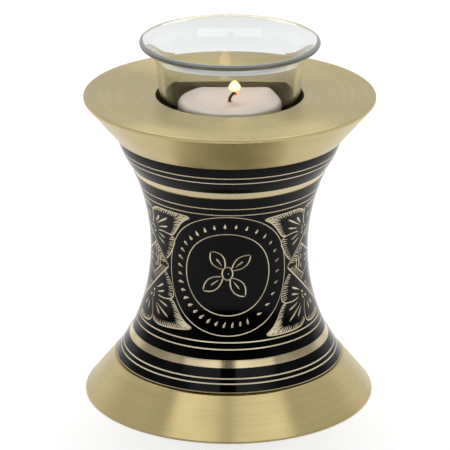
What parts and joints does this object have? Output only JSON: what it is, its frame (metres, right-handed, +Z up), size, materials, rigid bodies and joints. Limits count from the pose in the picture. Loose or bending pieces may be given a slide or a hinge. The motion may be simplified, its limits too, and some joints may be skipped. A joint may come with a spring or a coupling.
{
  "type": "tealight cremation urn",
  "caption": "Waisted brass cremation urn in engraved black enamel, with a flared foot and a lid whose well holds a glass tealight cup.",
  "frame": {"origin": "centre of the underside, in the plane that the foot stands on", "axes": "+Z up along the urn's turning axis; the medallion on the front faces -Y"},
  "size_m": [0.108, 0.108, 0.1367],
  "materials": {
    "brass": "satin, turned and brushed",
    "enamel": "gloss black enamel cut through to the brass",
    "glass": "clear, polished",
    "wax": "smooth white wax",
    "wick": "charred cotton"
  },
  "bodies": {
    "root": {"foot": "brass", "vessel": "enamel", "lid": "brass", "glass_cup": "glass", "candle": "wax", "wick": "wick"}
  },
  "joints": []
}
